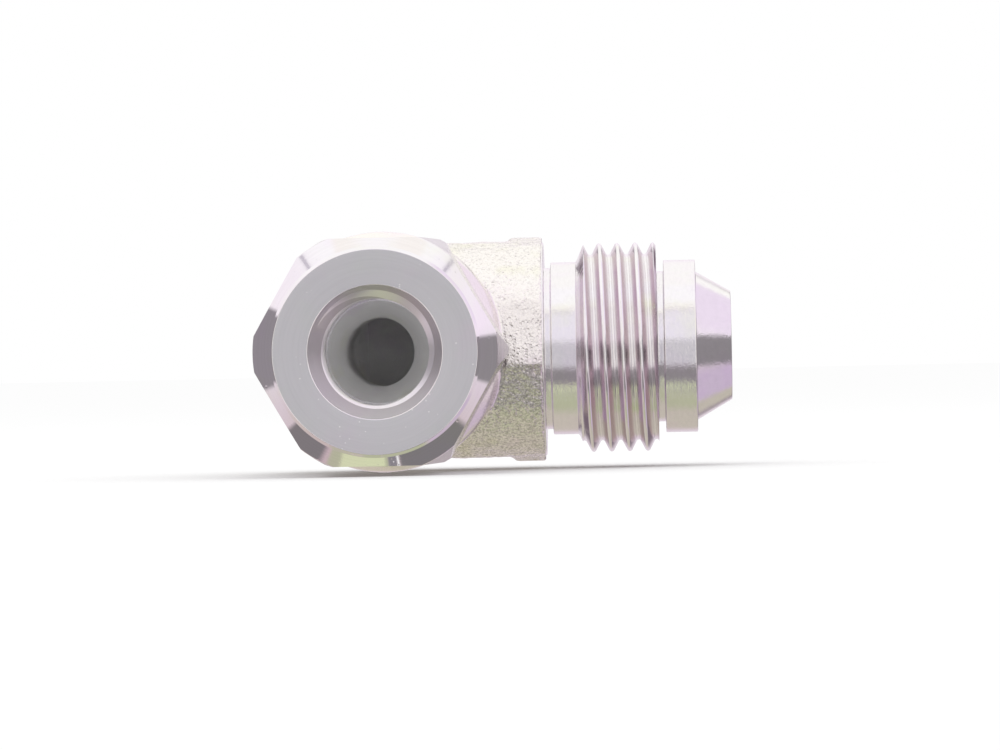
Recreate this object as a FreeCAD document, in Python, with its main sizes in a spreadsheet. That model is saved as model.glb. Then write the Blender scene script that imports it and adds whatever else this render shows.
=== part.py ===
import FreeCAD
import Part

import math
import os
from types import SimpleNamespace

import Sketcher

# Ninety degree adapter elbow: a forged body with a male thread and outside cone along +X,
# and a hexagonal swivel nut along -Y that turns on the body's stem behind a wire ring.
# The origin is the centre of the nut's mouth face. All lengths are in millimetres.

DRIVING_SIZES = {
    # Swivel nut outside
    "nut_across_flats": 22.0,
    "nut_length": 19.4,
    "face_inset": 1.1,
    "face_bevel": 0.28,
    "nut_chamfer_angle": 30.0,
    "corner_cut_front": 0.88,
    "corner_cut_rear": 0.2,
    "nut_rear_chamfer": 0.5,
    # Swivel nut inside: minor diameter of a 12 x 1.5 thread
    "mouth_thread_minor": 10.38,
    "mouth_chamfer": 1.25,
    "mouth_thread_length": 8.75,
    "skirt_chamfer": 0.5,
    # Wire ring between nut and stem
    "wire_diameter": 1.2,
    "wire_from_skirt": 4.2,
    "wire_seat_clearance": 0.05,
    "wire_running_clearance": 0.09,
    "wire_tail_inset": 0.5,
    "wire_turn_angle": 344.0,
    "feed_hole_clearance": 0.15,
    # Stem of the body inside the nut
    "stem_diameter": 14.0,
    "stem_running_clearance": 0.05,
    "stem_head_gap": 0.5,
    "stem_head_chamfer": 0.3,
    "seat_mouth_diameter": 10.0,
    "seat_half_angle": 30.0,
    "stem_bore_diameter": 6.8,
    # Turned boss behind the nut
    "boss_gap": 0.6,
    "boss_rise": 1.0,
    "boss_thickness": 2.5,
    "boss_chamfer": 0.25,
    # Forging
    "boss_to_axis": 13.0,
    "forging_half_height": 11.3,
    "forging_draft_offset": 1.2,
    "forging_flats_across": 21.6,
    "forging_reach": 15.9,
    "collar_length": 2.9,
    # Male end: 1/2-14 parallel pipe thread, 20.955 mm over its crests
    "neck_diameter": 16.2,
    "neck_length": 0.7,
    "shank_diameter": 17.3,
    "shank_length": 2.5,
    "thread_lead_length": 0.9,
    "thread_major_diameter": 20.955,
    "thread_length": 7.2,
    "undercut_diameter": 15.1,
    "undercut_length": 0.7,
    "nose_length": 3.2,
    "nose_edge_chamfer": 0.15,
    "cone_base_diameter": 14.9,
    "cone_half_angle": 30.0,
    "cone_length": 3.5,
    "male_bore_diameter": 8.0,
    "bore_mouth_chamfer": 0.3,
    # Both drillings run past the point where their axes cross
    "drill_overrun": 2.0,
    "drill_half_angle": 59.0,
}

WIRE_SECTION_SIDES = 12


class Size:
    """A length or ratio with the expression that ties it to the sheet."""

    def __init__(self, value, text):
        self.value = value
        self.text = text

    def combined(self, other, sign, value):
        """Return a new size from this one, a sign and another size or plain number."""
        other_text = other.text if isinstance(other, Size) else repr(float(other))
        return Size(value, "(" + self.text + " " + sign + " " + other_text + ")")

    def __add__(self, other):
        return self.combined(other, "+", self.value + number(other))

    def __sub__(self, other):
        return self.combined(other, "-", self.value - number(other))

    def __mul__(self, other):
        return self.combined(other, "*", self.value * number(other))

    def __truediv__(self, other):
        return self.combined(other, "/", self.value / number(other))

    def __neg__(self):
        return self * -1.0


def number(size):
    """Return the plain value of a size or of a number."""
    return size.value if isinstance(size, Size) else float(size)


def tangent(angle):
    """Return the tangent of an angle in degrees as a size."""
    return Size(math.tan(math.radians(angle.value)), "tan(" + angle.text + " * 1 deg)")


def write_sheet(doc):
    """Put every driving size in the sheet and return them by name."""
    sheet = doc.addObject("Spreadsheet::Sheet", "sizes")
    for row, (alias, value) in enumerate(DRIVING_SIZES.items(), start=1):
        sheet.set("A" + str(row), alias)
        sheet.set("B" + str(row), str(value))
        sheet.setAlias("B" + str(row), alias)
    doc.recompute()
    names = {alias: Size(float(sheet.get(alias)), "<<sizes>>." + alias) for alias in DRIVING_SIZES}
    return SimpleNamespace(**names)


def new_sketch(body, name, role, shift=None):
    """Attach a sketch to one of the body's origin planes, moved by named amounts."""
    plane = next(item for item in body.Origin.OriginFeatures if item.Role == role)
    sketch = body.newObject("Sketcher::SketchObject", name)
    sketch.AttachmentSupport = [(plane, "")]
    sketch.MapMode = "FlatFace"
    for direction, amount in (shift or {}).items():
        sketch.setExpression("AttachmentOffset.Base." + direction, amount.text)
    return sketch


def tie_point(sketch, curve, end, place, label):
    """Fix one end of a curve at a place given by two sizes."""
    for kind, size in (("DistanceX", place[0]), ("DistanceY", place[1])):
        limit = Sketcher.Constraint(kind, -1, 1, curve, end, number(size))
        index = sketch.addConstraint(limit)
        if isinstance(size, Size):
            name = label + kind[-1].lower()
            sketch.renameConstraint(index, name)
            sketch.setExpression("Constraints." + name, size.text)


def closed_outline(sketch, points):
    """Draw straight lines through the points and back to the first."""
    places = [FreeCAD.Vector(number(x), number(y), 0) for x, y in points]
    count = len(places)
    for index in range(count):
        sketch.addGeometry(Part.LineSegment(places[index], places[(index + 1) % count]))
    for index in range(count):
        sketch.addConstraint(Sketcher.Constraint("Coincident", index, 2, (index + 1) % count, 1))
    for index, point in enumerate(points):
        tie_point(sketch, index, 1, point, "corner" + chr(ord("a") + index))


def turned(body, name, sketch, axis, kind="Revolution"):
    """Turn a sketch a full circle about one of its own axes, adding or cutting."""
    feature = body.newObject("PartDesign::" + kind, name)
    feature.Profile = sketch
    feature.ReferenceAxis = (sketch, [axis])
    feature.Angle = 360.0
    return feature


def add_arc(sketch, centre_height, radius, start_angle, end_angle, label):
    """Draw an arc whose centre lies on the upright axis and tie its centre and radius."""
    centre = FreeCAD.Vector(0, number(centre_height), 0)
    circle = Part.Circle(centre, FreeCAD.Vector(0, 0, 1), radius.value)
    index = sketch.addGeometry(Part.ArcOfCircle(circle, start_angle, end_angle))
    tie_point(sketch, index, 3, (0.0, centre_height), label + "centre")
    limit = sketch.addConstraint(Sketcher.Constraint("Radius", index, radius.value))
    sketch.renameConstraint(limit, label + "radius")
    sketch.setExpression("Constraints." + label + "radius", radius.text)
    return index


def forging_section(sketch, d, half=False):
    """Draw the forged section: two arcs that meet in a ridge at the parting plane."""
    offset = d.forging_draft_offset
    radius = d.forging_half_height + offset
    lean = math.asin(offset.value / radius.value)
    top, left, bottom, full = math.pi / 2, math.pi, 3 * math.pi / 2, 2 * math.pi
    upper_end = top if half else left - lean
    lower_start = bottom if half else left + lean
    upper = add_arc(sketch, -offset, radius, lean, upper_end, "upper")
    lower = add_arc(sketch, offset, radius, lower_start, full - lean, "lower")
    sketch.addConstraint(Sketcher.Constraint("Coincident", upper, 1, lower, 2))
    if half:
        start = FreeCAD.Vector(0, d.forging_half_height.value, 0)
        end = FreeCAD.Vector(0, -d.forging_half_height.value, 0)
        spine = sketch.addGeometry(Part.LineSegment(start, end))
        sketch.addConstraint(Sketcher.Constraint("Coincident", spine, 1, upper, 2))
        sketch.addConstraint(Sketcher.Constraint("Coincident", spine, 2, lower, 1))
        sketch.addConstraint(Sketcher.Constraint("PointOnObject", spine, 1, -2))
        sketch.addConstraint(Sketcher.Constraint("PointOnObject", spine, 2, -2))
    else:
        sketch.addConstraint(Sketcher.Constraint("Coincident", upper, 2, lower, 1))


def check_changed(doc, body, before, grows, name):
    """Stop if a feature did not add or remove material as it should."""
    doc.recompute()
    volume = body.Shape.Volume
    changed = volume > before if grows else volume < before
    if not changed:
        raise RuntimeError(name + " left the solid as it was")
    return volume


def build_swivel_nut(doc, d):
    """Hexagonal nut: chamfered face, threaded mouth, plain skirt bore and wire groove."""
    body = doc.addObject("PartDesign::Body", "swivel_nut")
    flat = d.nut_across_flats / 2
    corner = flat / Size(math.cos(math.pi / 6), "cos(30 deg)")
    side = corner / 2

    hexagon = new_sketch(body, "nut_hexagon", "XZ_Plane")
    closed_outline(hexagon, [(corner, 0), (side, flat), (-side, flat),
                             (-corner, 0), (-side, -flat), (side, -flat)])
    bar = body.newObject("PartDesign::Pad", "nut_bar")
    bar.Profile = hexagon
    bar.Reversed = True
    bar.setExpression("Length", d.nut_length.text)
    volume = check_changed(doc, body, 0.0, True, "nut_bar")

    face = flat - d.face_inset
    bevel = face + d.face_bevel
    front = corner - d.corner_cut_front
    rear = corner - d.corner_cut_rear
    beyond = corner + d.face_inset
    front_depth = d.face_bevel + (front - bevel) * tangent(d.nut_chamfer_angle)
    rear_rim = rear - d.nut_rear_chamfer
    outside = new_sketch(body, "nut_outside", "XY_Plane")
    closed_outline(outside, [(face, 0), (bevel, d.face_bevel), (front, front_depth),
                             (rear, d.nut_length - d.nut_rear_chamfer * tangent(d.nut_chamfer_angle)),
                             (rear_rim, d.nut_length), (beyond, d.nut_length), (beyond, 0)])
    turned(body, "nut_turned_outside", outside, "V_Axis", "Groove")
    volume = check_changed(doc, body, volume, False, "nut_turned_outside")

    minor = d.mouth_thread_minor / 2
    skirt = d.stem_diameter / 2 + d.stem_running_clearance
    shoulder = d.mouth_chamfer + d.mouth_thread_length
    inside = new_sketch(body, "nut_inside", "XY_Plane")
    closed_outline(inside, [(0, 0), (minor + d.mouth_chamfer, 0), (minor, d.mouth_chamfer),
                            (minor, shoulder), (skirt, shoulder), (skirt, d.nut_length - d.skirt_chamfer),
                            (skirt + d.skirt_chamfer, d.nut_length), (0, d.nut_length)])
    turned(body, "nut_bores", inside, "V_Axis", "Groove")
    volume = check_changed(doc, body, volume, False, "nut_bores")

    groove = new_sketch(body, "nut_wire_section", "XY_Plane")
    wire_groove_outline(groove, d, d.wire_seat_clearance)
    turned(body, "nut_wire_groove", groove, "V_Axis", "Groove")
    volume = check_changed(doc, body, volume, False, "nut_wire_groove")

    feed = new_sketch(body, "nut_feed_hole_circle", "XY_Plane")
    radius = d.wire_diameter / 2 + d.feed_hole_clearance
    feed_circle = Part.Circle(FreeCAD.Vector(0, wire_depth(d).value, 0), FreeCAD.Vector(0, 0, 1), radius.value)
    feed.addGeometry(feed_circle)
    tie_point(feed, 0, 3, (0.0, wire_depth(d)), "feed")
    limit = feed.addConstraint(Sketcher.Constraint("Radius", 0, radius.value))
    feed.renameConstraint(limit, "feedradius")
    feed.setExpression("Constraints.feedradius", radius.text)
    hole = body.newObject("PartDesign::Pocket", "nut_feed_hole")
    hole.Profile = feed
    hole.Type = "ThroughAll"
    hole.Reversed = True
    check_changed(doc, body, volume, False, "nut_feed_hole")
    return body


def wire_depth(d):
    """Return how deep the wire ring lies behind the nut's face."""
    return d.nut_length - d.wire_from_skirt


def wire_ring_radius(d):
    """Return the radius of the wire's centre line, midway between stem and nut."""
    return d.stem_diameter / 2 + d.stem_running_clearance / 2


def wire_groove_outline(sketch, d, clearance):
    """Draw the square section that a grooving tool cuts round the wire, with a clearance."""
    reach = d.wire_diameter / 2 + clearance
    inner, outer = wire_ring_radius(d) - reach, wire_ring_radius(d) + reach
    near, far = wire_depth(d) - reach, wire_depth(d) + reach
    closed_outline(sketch, [(inner, near), (outer, near), (outer, far), (inner, far)])


def build_retaining_wire(doc, d):
    """Spring wire ring with one end bent out into the nut's feed hole, drawn twelve-sided."""
    wire_radius = d.wire_diameter / 2
    section = doc.addObject("Part::RegularPolygon", "wire_section")
    section.Polygon = WIRE_SECTION_SIDES
    section.setExpression("Circumradius", wire_radius.text)
    section.setExpression("Placement.Base.x", wire_ring_radius(d).text)
    section.setExpression("Placement.Base.y", wire_depth(d).text)

    ring = doc.addObject("Part::Revolution", "wire_turn")
    ring.Source = section
    ring.Axis = FreeCAD.Vector(0, 1, 0)
    ring.Solid = True
    ring.setExpression("Angle", d.wire_turn_angle.text)
    ring.Placement = FreeCAD.Placement(FreeCAD.Vector(), FreeCAD.Rotation(FreeCAD.Vector(0, 1, 0), -90))

    tail = doc.addObject("Part::Prism", "wire_tail")
    tail.Polygon = WIRE_SECTION_SIDES
    tail.setExpression("Circumradius", wire_radius.text)
    tail_foot = wire_ring_radius(d) - wire_radius
    tail_top = d.nut_across_flats / 2 - d.wire_tail_inset
    tail.setExpression("Height", (tail_top - tail_foot).text)
    tail.setExpression("Placement.Base.y", wire_depth(d).text)
    tail.setExpression("Placement.Base.z", tail_foot.text)

    wire = doc.addObject("Part::MultiFuse", "retaining_wire")
    wire.Shapes = [ring, tail]
    return wire


def build_elbow_body(doc, d):
    """Forged elbow: stem and boss along -Y, male end along +X, and two crossing drillings."""
    body = doc.addObject("PartDesign::Body", "elbow_body")
    boss_face = d.nut_length + d.boss_gap
    boss_back = boss_face + d.boss_thickness
    crossing = boss_face + d.boss_to_axis

    heel = new_sketch(body, "heel_section", "XZ_Plane", {"z": -crossing})
    forging_section(heel, d, half=True)
    turned(body, "heel", heel, "V_Axis")
    volume = check_changed(doc, body, 0.0, True, "heel")

    swivel_arm = new_sketch(body, "swivel_arm_section", "XZ_Plane", {"z": -crossing})
    forging_section(swivel_arm, d)
    arm = body.newObject("PartDesign::Pad", "swivel_arm")
    arm.Profile = swivel_arm
    arm.setExpression("Length", (crossing - boss_back).text)
    volume = check_changed(doc, body, volume, True, "swivel_arm")

    male_arm = new_sketch(body, "male_arm_section", "YZ_Plane", {"x": crossing})
    forging_section(male_arm, d)
    arm = body.newObject("PartDesign::Pad", "male_arm")
    arm.Profile = male_arm
    arm.setExpression("Length", d.forging_reach.text)
    volume = check_changed(doc, body, volume, True, "male_arm")

    flats_end = d.forging_reach - d.collar_length
    beyond = d.forging_half_height + d.forging_draft_offset + d.collar_length
    flats_half = d.forging_flats_across / 2
    for side, sign in (("upper", 1.0), ("lower", -1.0)):
        flat = new_sketch(body, side + "_flat_area", "XY_Plane", {"z": flats_half * sign})
        closed_outline(flat, [(-beyond, boss_back), (flats_end, boss_back),
                              (flats_end, crossing + beyond), (-beyond, crossing + beyond)])
        cut = body.newObject("PartDesign::Pocket", side + "_flat")
        cut.Profile = flat
        cut.Type = "ThroughAll"
        cut.Reversed = sign > 0
        volume = check_changed(doc, body, volume, False, side + "_flat")

    head = d.mouth_chamfer + d.mouth_thread_length + d.stem_head_gap
    stem = d.stem_diameter / 2
    boss = d.nut_across_flats / 2 + d.boss_rise
    stem_sketch = new_sketch(body, "stem_profile", "XY_Plane")
    closed_outline(stem_sketch, [(0, head), (stem - d.stem_head_chamfer, head),
                                 (stem, head + d.stem_head_chamfer), (stem, boss_face),
                                 (boss - d.boss_chamfer, boss_face), (boss, boss_face + d.boss_chamfer),
                                 (boss, boss_back), (0, boss_back)])
    turned(body, "stem_and_boss", stem_sketch, "V_Axis")
    volume = check_changed(doc, body, volume, True, "stem_and_boss")

    volume = add_male_end(doc, body, d, crossing, volume)

    groove = new_sketch(body, "stem_wire_section", "XY_Plane")
    wire_groove_outline(groove, d, d.wire_running_clearance)
    turned(body, "stem_wire_groove", groove, "V_Axis", "Groove")
    volume = check_changed(doc, body, volume, False, "stem_wire_groove")

    seat = d.seat_mouth_diameter / 2
    bore = d.stem_bore_diameter / 2
    seat_end = head + (seat - bore) / tangent(d.seat_half_angle)
    floor = crossing + d.drill_overrun
    point = floor + bore / tangent(d.drill_half_angle)
    drilling = new_sketch(body, "stem_drilling", "XY_Plane")
    closed_outline(drilling, [(0, head), (seat, head), (bore, seat_end), (bore, floor), (0, point)])
    turned(body, "stem_bore", drilling, "V_Axis", "Groove")
    volume = check_changed(doc, body, volume, False, "stem_bore")

    bore = d.male_bore_diameter / 2
    tip = male_end_stations(d)[-1]
    mouth = bore + d.bore_mouth_chamfer
    floor = -d.drill_overrun
    point = floor - bore / tangent(d.drill_half_angle)
    drilling = new_sketch(body, "male_drilling", "XY_Plane", {"y": crossing})
    closed_outline(drilling, [(tip, 0), (tip, mouth), (tip - d.bore_mouth_chamfer, bore),
                              (floor, bore), (point, 0)])
    turned(body, "male_bore", drilling, "H_Axis", "Groove")
    check_changed(doc, body, volume, False, "male_bore")
    return body


def male_end_stations(d):
    """Return the distances along the male axis at which its turned steps end."""
    steps = [d.neck_length, d.shank_length, d.thread_lead_length, d.thread_length,
             d.undercut_length, d.nose_length, d.cone_length]
    stations = [d.forging_reach]
    for step in steps:
        stations.append(stations[-1] + step)
    return stations


def add_male_end(doc, body, d, crossing, volume):
    """Turned male end: neck, shank, thread cylinder, undercut, nose and outside cone."""
    face, neck_end, shank_end, lead_end, thread_end, undercut_end, nose_end, tip = male_end_stations(d)
    neck = d.neck_diameter / 2
    shank = d.shank_diameter / 2
    major = d.thread_major_diameter / 2
    undercut = d.undercut_diameter / 2
    cone_base = d.cone_base_diameter / 2
    cone_tip = cone_base - d.cone_length * tangent(d.cone_half_angle)
    edge = d.nose_edge_chamfer
    root = face - d.collar_length
    profile = new_sketch(body, "male_profile", "XY_Plane", {"y": crossing})
    closed_outline(profile, [(root, 0), (root, neck), (neck_end, neck), (neck_end, shank),
                             (shank_end, shank), (lead_end, major), (thread_end, major),
                             (thread_end, undercut), (undercut_end, undercut), (undercut_end, shank - edge),
                             (undercut_end + edge, shank), (nose_end - edge, shank),
                             (nose_end, shank - edge), (nose_end, cone_base), (tip, cone_tip), (tip, 0)])
    turned(body, "male_end", profile, "H_Axis")
    return check_changed(doc, body, volume, True, "male_end")


def main():
    """Build the three pieces, check them and write one file each."""
    doc = FreeCAD.newDocument("elbow_fitting")
    d = write_sheet(doc)
    pieces = [build_elbow_body(doc, d), build_swivel_nut(doc, d), build_retaining_wire(doc, d)]
    doc.recompute()
    for item in doc.Objects:
        if "Invalid" in item.State or "Error" in item.State:
            raise RuntimeError(item.Name + " failed to compute")
    os.makedirs("parts", exist_ok=True)
    for piece in pieces:
        if piece.Shape.isNull() or not piece.Shape.isValid():
            raise RuntimeError(piece.Label + " has no valid shape")
        piece.Shape.exportStep("parts/" + piece.Label + ".step")
        print(piece.Label, "solids", len(piece.Shape.Solids), "volume", round(piece.Shape.Volume, 1))


main()
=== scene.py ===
"""Looks of the ninety degree adapter elbow: plated steel, forged skin and turned ends."""
import logging
import math
from dataclasses import dataclass, field
from enum import Enum

import bmesh
import bpy
from mathutils import Matrix, Vector, noise


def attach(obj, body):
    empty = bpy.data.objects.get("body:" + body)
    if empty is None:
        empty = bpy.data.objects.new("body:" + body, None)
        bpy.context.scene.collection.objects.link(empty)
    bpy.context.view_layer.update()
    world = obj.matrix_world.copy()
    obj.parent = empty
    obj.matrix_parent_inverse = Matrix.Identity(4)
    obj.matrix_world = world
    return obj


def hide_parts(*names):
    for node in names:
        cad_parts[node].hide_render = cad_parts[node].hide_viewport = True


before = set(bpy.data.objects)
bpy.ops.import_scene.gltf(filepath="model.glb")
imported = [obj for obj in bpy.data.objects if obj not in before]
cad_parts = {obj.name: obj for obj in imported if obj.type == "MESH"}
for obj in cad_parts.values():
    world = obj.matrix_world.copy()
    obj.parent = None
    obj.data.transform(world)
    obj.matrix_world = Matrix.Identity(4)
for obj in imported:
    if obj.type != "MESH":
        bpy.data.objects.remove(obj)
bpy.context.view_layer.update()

MM = 0.001
LOG = logging.getLogger("elbow")
MALE_AXIS_DEPTH = 33.0
PLAIN = (1.0, 1.0, 1.0)

Socket = bpy.types.NodeSocket
Material = bpy.types.Material
Thing = bpy.types.Object
Solid = bmesh.types.BMesh
Colour = tuple[float, float, float]
Pair = tuple[float, float]
Profile = list[Pair]

SKINS: list[Material] = []


class Axis(Enum):
    """The two axes that the fitting's turned surfaces lie round."""

    NUT = "Y"
    MALE = "X"


class Skin(Enum):
    """The surfaces of the steel, in the order of every mesh's material slots."""

    FORGED = 0
    TURNED = 1
    THREAD = 2
    FACE = 3
    CHAMFER = 4
    MOUTH = 5
    TAPPED = 6
    BORE = 7
    FLAT = 8
    CORNER = 9


@dataclass
class NodeTree:
    """The node tree of a material or a world, with short ways to add and join nodes."""

    owner: Material | bpy.types.World

    def add(self, kind: str, **settings: object) -> bpy.types.Node:
        """Add a node and set its properties.

        Args:
            kind: The node's type name.
            **settings: Properties of the node by name.

        Returns:
            The new node.
        """
        node = self.owner.node_tree.nodes.new(kind)
        for name, value in settings.items():
            setattr(node, name, value)
        return node

    def feed(self, socket: Socket, value: object) -> None:
        """Link another node's output to a socket, or write a constant on it.

        Args:
            socket: The input to fill.
            value: An output, a number or a colour. None leaves the input as it is.
        """
        if isinstance(value, Socket):
            self.owner.node_tree.links.new(value, socket)
        elif isinstance(value, tuple):
            socket.default_value = (*value, 1.0)
        elif value is not None:
            socket.default_value = value

    def result(self, kind: str, output: str | int, inputs: dict[str | int, object],
               **settings: object) -> Socket:
        """Add a node, fill its inputs and give one of its outputs.

        Args:
            kind: The node's type name.
            output: The output's name or place.
            inputs: What to feed to its inputs, by their name or place.
            **settings: Properties of the node by name.

        Returns:
            The output.
        """
        node = self.add(kind, **settings)
        for name, value in inputs.items():
            self.feed(node.inputs[name], value)
        return node.outputs[output]

    def math(self, operation: str, *values: object) -> Socket:
        """Reckon with numbers and other nodes' outputs."""
        return self.result("ShaderNodeMath", 0, dict(enumerate(values)), operation=operation)

    def noise(self, vector: Socket, scale: float, detail: float = 3.0, roughness: float = 0.55) -> Socket:
        """Give a noise from 0 to 1, with its scale in waves per metre."""
        inputs = {"Vector": vector, "Scale": scale, "Detail": detail, "Roughness": roughness}
        return self.result("ShaderNodeTexNoise", "Fac", inputs, noise_dimensions="3D")

    def pits(self, vector: Socket, scale: float) -> Socket:
        """Give the distance to the nearest of scattered points, with their scale in points per metre."""
        inputs = {"Vector": vector, "Scale": scale}
        return self.result("ShaderNodeTexVoronoi", "Distance", inputs, feature="F1")

    def span(self, value: Socket, low: float, high: float, start: float, end: float) -> Socket:
        """Map the range from low to high onto start to end, and hold the result there."""
        inputs = {"Value": value, "From Min": low, "From Max": high, "To Min": start, "To Max": end}
        return self.result("ShaderNodeMapRange", "Result", inputs, clamp=True)

    def bump(self, height: Socket, distance: float, strength: float = 1.0,
             normal: Socket | None = None) -> Socket:
        """Add a bump of a height from 0 to 1 times a distance in metres to an earlier normal."""
        inputs = {"Distance": distance, "Strength": strength, "Height": height, "Normal": normal}
        return self.result("ShaderNodeBump", "Normal", inputs)

    def mix(self, kind: str, share: object, first: object, second: object) -> Socket:
        """Mix two colours, with the share of the second one that shows."""
        return self.result("ShaderNodeMixRGB", 0, {0: share, 1: first, 2: second}, blend_type=kind)

    def split(self, vector: Socket) -> list[Socket]:
        """Part a vector into its X, Y and Z."""
        return list(self.result("ShaderNodeSeparateXYZ", 0, {0: vector}).node.outputs)

    def radius(self, first: Socket, second: Socket) -> Socket:
        """Give the distance from an axis for the two distances across it."""
        squares = [self.math("MULTIPLY", side, side) for side in (first, second)]
        return self.math("SQRT", self.math("ADD", *squares))

    def ramp(self, value: Socket, stops: list[tuple[float, Colour]]) -> Socket:
        """Add a colour ramp.

        Args:
            value: The number that it reads.
            stops: Positions from 0 to 1 with their colours.

        Returns:
            The ramp's colour.
        """
        node = self.add("ShaderNodeValToRGB")
        elements = node.color_ramp.elements
        while len(elements) < len(stops):
            elements.new(0.5)
        for element, (position, colour) in zip(elements, stops):
            element.position = position
            element.color = (*colour, 1.0)
        self.feed(node.inputs["Fac"], value)
        return node.outputs["Color"]

    def shade(self, kind: str, **inputs: object) -> Material | bpy.types.World:
        """End the tree with a shader.

        Args:
            kind: The shader's type name.
            **inputs: Its inputs by name, with underscores for spaces.

        Returns:
            The material or world that has the tree.
        """
        surface = self.result(kind, 0, {name.replace("_", " "): value for name, value in inputs.items()})
        of_world = isinstance(self.owner, bpy.types.World)
        out = self.add("ShaderNodeOutputWorld" if of_world else "ShaderNodeOutputMaterial")
        self.feed(out.inputs["Surface"], surface)
        return self.owner


def new_tree(owner: Material | bpy.types.World) -> NodeTree:
    """Give a new material or world an empty node tree.

    Args:
        owner: The material or world.

    Returns:
        Its node tree.
    """
    owner.use_nodes = True
    owner.node_tree.nodes.clear()
    return NodeTree(owner)


@dataclass(frozen=True)
class TurnedSteel:
    """Zinc plated steel as the lathe left it, with fine rings round its axis."""

    name: str
    axis: Axis
    colour: Colour = (0.93, 0.915, 0.925)
    blush: Colour = (0.93, 0.88, 0.94)
    straw: Colour = (0.92, 0.93, 0.86)
    roughness: float = 0.2
    roughness_swing: float = 0.1
    rings_per_mm: float = 6.0
    ring_height: float = 0.0012
    ring_stretch: float = 0.1
    pit_height: float = 0.004
    speckle: float = 0.0
    glints: float = 0.0
    metal: float = 1.0
    # groove is a colour painted on the thread flanks between groove_root and groove_crest: painted shade in
    # the hollows.
    groove: Colour = PLAIN
    groove_root: float = 9.31
    groove_crest: float = 10.48
    patch_scale: float = 170.0
    wear_scale: float = 900.0
    pit_scale: float = 1300.0
    speckle_scale: float = 5200.0
    streak_shade: float = 0.96
    glint: Colour = (0.97, 0.97, 0.97)

    def material(self) -> Material:
        """Build the node material.

        Returns:
            The material.
        """
        nodes = new_tree(bpy.data.materials.new(self.name))
        place = nodes.add("ShaderNodeTexCoord").outputs["Object"]
        along, across, height = nodes.split(place)
        if self.axis is Axis.NUT:
            along, across = across, along
        else:
            across = nodes.math("SUBTRACT", across, MALE_AXIS_DEPTH * MM)
        radius = nodes.radius(across, height)
        parts = [nodes.math("ADD", along, radius), nodes.math("MULTIPLY", across, self.ring_stretch),
                 nodes.math("MULTIPLY", height, self.ring_stretch)]
        travel = nodes.result("ShaderNodeCombineXYZ", 0, dict(enumerate(parts)))
        rings = nodes.noise(travel, self.rings_per_mm / MM, 4.0, 0.7)
        patches = nodes.noise(place, self.patch_scale)
        wear = nodes.noise(place, self.wear_scale, 6.0, 0.65)
        pits = nodes.pits(place, self.pit_scale)

        tint = nodes.ramp(patches, [(0.30, self.straw), (0.45, self.colour),
                                    (0.55, self.colour), (0.70, self.blush)])
        tint = nodes.mix("MULTIPLY", 1.0, tint, nodes.span(rings, 0.3, 0.6, self.streak_shade, 1.0))
        # Painted shade: the groove colour darkens the thread flanks between root and crest, standing in for
        # the shade and dim reflections in the thread's hollows.
        depth = nodes.span(radius, self.groove_root * MM, self.groove_crest * MM, 0.0, 1.0)
        flank_shade = nodes.ramp(depth, [(0.14, PLAIN), (0.30, self.groove), (0.86, self.groove), (0.95, PLAIN)])
        tint = nodes.mix("MULTIPLY", 1.0, tint, flank_shade)
        # Painted highlights: the bright glint colour is mixed in at scattered pits on mid-tone patches.
        glint_share = nodes.math("MULTIPLY", nodes.span(pits, 0.07, 0.13, self.glints, 0.0),
                           nodes.span(patches, 0.48, 0.52, 0.0, 1.0))
        tint = nodes.mix("MIX", glint_share, tint, self.glint)

        normal = nodes.bump(rings, self.ring_height * MM)
        normal = nodes.bump(nodes.span(pits, 0.05, 0.2, 0.0, 1.0), self.pit_height * MM, 0.6, normal)
        if self.speckle:
            grain = nodes.noise(place, self.speckle_scale, 2.0, 0.8)
            normal = nodes.bump(grain, self.speckle * MM, 1.0, normal)
        worn = nodes.span(wear, 0.3, 0.75, self.roughness, self.roughness + self.roughness_swing)
        return nodes.shade("ShaderNodeBsdfPrincipled", Base_Color=tint, Roughness=worn, Normal=normal,
                           Metallic=self.metal)


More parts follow.
